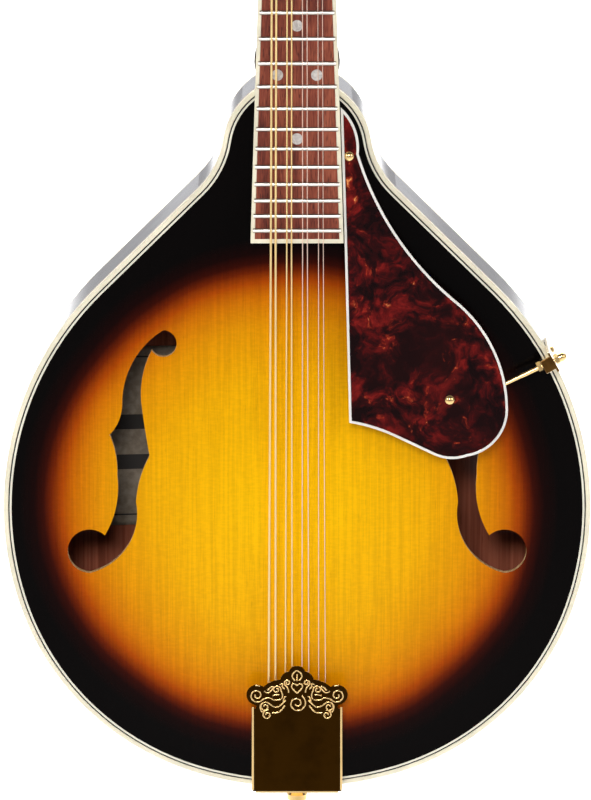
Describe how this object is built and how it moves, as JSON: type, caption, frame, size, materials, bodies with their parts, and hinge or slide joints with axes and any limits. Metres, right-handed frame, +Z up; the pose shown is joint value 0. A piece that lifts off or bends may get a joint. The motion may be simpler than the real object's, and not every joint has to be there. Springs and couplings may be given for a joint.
{
  "type": "mandolin",
  "caption": "Arch-top teardrop-bodied stringed instrument with f-holes, paired strings, geared tuners, a stamped tailpiece and a raised pickguard.",
  "frame": {"origin": "outer end of the end pin, on its axis, halfway through the depth of the rim", "axes": "+X to the treble side, -Y out of the front, +Z up the neck from the end pin"},
  "size_m": [0.2672, 0.0813, 0.6435],
  "materials": {
    "top_plate": "gloss",
    "back_plate": "gloss",
    "rim": "gloss",
    "inner_wood": "matte",
    "linings": "matte",
    "tone_bars": "matte",
    "top_binding": "gloss",
    "back_binding": "gloss",
    "purfling_black": "gloss",
    "purfling_white": "gloss",
    "neck": "gloss",
    "fingerboard": "satin",
    "fingerboard_binding": "gloss",
    "frets": "polished",
    "fret_markers": "gloss",
    "nut": "satin",
    "headstock_overlay": "gloss",
    "steel": "brushed",
    "brass": "polished",
    "truss_rod_cover": "gloss",
    "headstock_screws": "polished",
    "body_screws": "polished",
    "tuner_bushings": "polished",
    "tuner_plates": "polished",
    "pickguard": "gloss",
    "pickguard_edge": "gloss",
    "pickguard_support": "satin",
    "gold_metal": "polished",
    "tailpiece_cover": "polished",
    "wound_strings": "polished",
    "plain_strings": "polished",
    "worm_shafts": "polished",
    "tuner_buttons": "gloss",
    "string_posts": "polished"
  },
  "bodies": {
    "instrument": {"top_plate": "top_plate", "back_plate": "back_plate", "rim": "rim", "neck_block": "inner_wood", "tail_block": "inner_wood", "linings": "linings", "tone_bars": "tone_bars", "top_binding": "top_binding", "back_binding": "back_binding", "top_purfling_black": "purfling_black", "top_purfling_white": "purfling_white", "neck": "neck", "fingerboard": "fingerboard", "fingerboard_binding": "fingerboard_binding", "frets": "frets", "fret_markers": "fret_markers", "nut": "nut", "headstock_overlay": "headstock_overlay", "truss_rod": "steel", "truss_rod_cover": "truss_rod_cover", "headstock_screws": "headstock_screws", "body_screws": "body_screws", "tuner_bushings": "tuner_bushings", "tuner_plates": "tuner_plates", "pickguard": "pickguard", "pickguard_edge": "pickguard_edge", "pickguard_support": "pickguard_support", "pickguard_bracket": "gold_metal", "pickguard_rod": "gold_metal", "pickguard_nuts": "gold_metal", "tailpiece_base": "gold_metal", "end_pin": "gold_metal", "wound_strings": "wound_strings", "plain_strings": "plain_strings"},
    "cover": {"tailpiece_cover": "tailpiece_cover"},
    "truss_nut": {"truss_rod_nut": "brass"},
    "key_1": {"worm_shaft_1": "worm_shafts", "tuner_button_1": "tuner_buttons"},
    "post_1": {"string_post_1": "string_posts"},
    "key_2": {"worm_shaft_2": "worm_shafts", "tuner_button_2": "tuner_buttons"},
    "post_2": {"string_post_2": "string_posts"},
    "key_3": {"worm_shaft_3": "worm_shafts", "tuner_button_3": "tuner_buttons"},
    "post_3": {"string_post_3": "string_posts"},
    "key_4": {"worm_shaft_4": "worm_shafts", "tuner_button_4": "tuner_buttons"},
    "post_4": {"string_post_4": "string_posts"},
    "key_5": {"worm_shaft_5": "worm_shafts", "tuner_button_5": "tuner_buttons"},
    "post_5": {"string_post_5": "string_posts"},
    "key_6": {"worm_shaft_6": "worm_shafts", "tuner_button_6": "tuner_buttons"},
    "post_6": {"string_post_6": "string_posts"},
    "key_7": {"worm_shaft_7": "worm_shafts", "tuner_button_7": "tuner_buttons"},
    "post_7": {"string_post_7": "string_posts"},
    "key_8": {"worm_shaft_8": "worm_shafts", "tuner_button_8": "tuner_buttons"},
    "post_8": {"string_post_8": "string_posts"}
  },
  "joints": [
    {"name": "cover_slide", "type": "slide", "parent": "instrument", "child": "cover", "axis": [0, 0, -1], "range_m": [0, 0.045]},
    {"name": "truss_nut_turn", "type": "hinge", "parent": "instrument", "child": "truss_nut", "pos_m": [0, -0.00732, 0.52011], "axis": [0, 0.0698, 0.9976], "range_deg": [-180, 180]},
    {"name": "key_turn_1", "type": "hinge", "parent": "instrument", "child": "key_1", "pos_m": [-0.019, 0.01692, 0.54448], "axis": [1, 0, 0], "continuous": true},
    {"name": "post_turn_1", "type": "hinge", "parent": "instrument", "child": "post_1", "pos_m": [-0.019, -0.00217, 0.54301], "axis": [0, 0.9511, -0.309], "continuous": true},
    {"name": "key_turn_2", "type": "hinge", "parent": "instrument", "child": "key_2", "pos_m": [-0.019, 0.02402, 0.56636], "axis": [1, 0, 0], "continuous": true},
    {"name": "post_turn_2", "type": "hinge", "parent": "instrument", "child": "post_2", "pos_m": [-0.019, 0.00493, 0.56488], "axis": [0, 0.9511, -0.309], "continuous": true},
    {"name": "key_turn_3", "type": "hinge", "parent": "instrument", "child": "key_3", "pos_m": [-0.019, 0.03113, 0.58823], "axis": [1, 0, 0], "continuous": true},
    {"name": "post_turn_3", "type": "hinge", "parent": "instrument", "child": "post_3", "pos_m": [-0.019, 0.01204, 0.58676], "axis": [0, 0.9511, -0.309], "continuous": true},
    {"name": "key_turn_4", "type": "hinge", "parent": "instrument", "child": "key_4", "pos_m": [-0.019, 0.03824, 0.61011], "axis": [1, 0, 0], "continuous": true},
    {"name": "post_turn_4", "type": "hinge", "parent": "instrument", "child": "post_4", "pos_m": [-0.019, 0.01915, 0.60863], "axis": [0, 0.9511, -0.309], "continuous": true},
    {"name": "key_turn_5", "type": "hinge", "parent": "instrument", "child": "key_5", "pos_m": [0.019, 0.01692, 0.54448], "axis": [1, 0, 0], "continuous": true},
    {"name": "post_turn_5", "type": "hinge", "parent": "instrument", "child": "post_5", "pos_m": [0.019, -0.00217, 0.54301], "axis": [0, 0.9511, -0.309], "continuous": true},
    {"name": "key_turn_6", "type": "hinge", "parent": "instrument", "child": "key_6", "pos_m": [0.019, 0.02402, 0.56636], "axis": [1, 0, 0], "continuous": true},
    {"name": "post_turn_6", "type": "hinge", "parent": "instrument", "child": "post_6", "pos_m": [0.019, 0.00493, 0.56488], "axis": [0, 0.9511, -0.309], "continuous": true},
    {"name": "key_turn_7", "type": "hinge", "parent": "instrument", "child": "key_7", "pos_m": [0.019, 0.03113, 0.58823], "axis": [1, 0, 0], "continuous": true},
    {"name": "post_turn_7", "type": "hinge", "parent": "instrument", "child": "post_7", "pos_m": [0.019, 0.01204, 0.58676], "axis": [0, 0.9511, -0.309], "continuous": true},
    {"name": "key_turn_8", "type": "hinge", "parent": "instrument", "child": "key_8", "pos_m": [0.019, 0.03824, 0.61011], "axis": [1, 0, 0], "continuous": true},
    {"name": "post_turn_8", "type": "hinge", "parent": "instrument", "child": "post_8", "pos_m": [0.019, 0.01915, 0.60863], "axis": [0, 0.9511, -0.309], "continuous": true}
  ],
  "couplings": [
    {"joint": "post_turn_1", "follows": "key_turn_1", "ratio": -0.071429},
    {"joint": "post_turn_2", "follows": "key_turn_2", "ratio": -0.071429},
    {"joint": "post_turn_3", "follows": "key_turn_3", "ratio": -0.071429},
    {"joint": "post_turn_4", "follows": "key_turn_4", "ratio": -0.071429},
    {"joint": "post_turn_5", "follows": "key_turn_5", "ratio": -0.071429},
    {"joint": "post_turn_6", "follows": "key_turn_6", "ratio": -0.071429},
    {"joint": "post_turn_7", "follows": "key_turn_7", "ratio": -0.071429},
    {"joint": "post_turn_8", "follows": "key_turn_8", "ratio": -0.071429}
  ]
}
